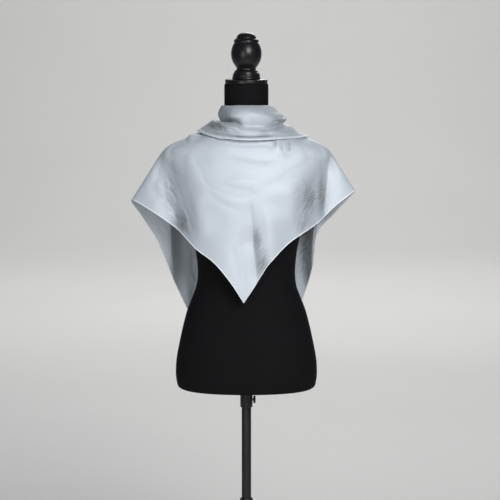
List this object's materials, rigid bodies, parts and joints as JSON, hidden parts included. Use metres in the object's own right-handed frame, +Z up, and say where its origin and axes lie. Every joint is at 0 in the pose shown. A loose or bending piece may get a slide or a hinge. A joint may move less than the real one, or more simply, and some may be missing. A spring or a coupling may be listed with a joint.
{
  "type": "evening stole on a dress form",
  "caption": "Silver-blue satin evening stole with a folded cowl, draped to a front point over a black limbless dress form on a pole stand.",
  "frame": {"origin": "on the floor under the base plate, on the pole's axis", "axes": "+Z up along the pole, the form's front looks along -Y, +X to the right of the picture"},
  "size_m": [0.5379, 0.33, 1.597],
  "materials": {
    "satin": "silver-blue satin weave with a soft broad sheen",
    "jersey": "matt black knitted jersey over a padded form",
    "ebonised_wood": "turned wood with a black satin lacquer",
    "black_steel": "black powder-coated steel"
  },
  "bodies": {
    "stand": {"base_plate": "black_steel", "lower_tube": "black_steel", "height_clamp": "black_steel"},
    "clamp_screw": {"clamp_screw": "black_steel"},
    "pole": {"pole": "black_steel"},
    "form": {"form_torso": "jersey", "neck_cap": "ebonised_wood", "finial": "ebonised_wood", "form_socket": "black_steel", "stole_front": "satin", "stole_back": "satin", "stole_neck_wrap": "satin", "stole_collar": "satin"},
    "socket_screw": {"socket_screw": "black_steel"}
  },
  "joints": [
    {"name": "height_slide", "type": "slide", "parent": "stand", "child": "pole", "axis": [0, 0, 1], "range_m": [-0.2, 0.12]},
    {"name": "form_turn", "type": "hinge", "parent": "pole", "child": "form", "pos_m": [0, 0, 0.717], "axis": [0, 0, 1], "continuous": true},
    {"name": "socket_screw_turn", "type": "hinge", "parent": "form", "child": "socket_screw", "pos_m": [0.0187, 0, 0.712], "axis": [1, 0, 0], "continuous": true},
    {"name": "clamp_screw_turn", "type": "hinge", "parent": "stand", "child": "clamp_screw", "pos_m": [0.021, 0, 0.448], "axis": [1, 0, 0], "continuous": true}
  ]
}
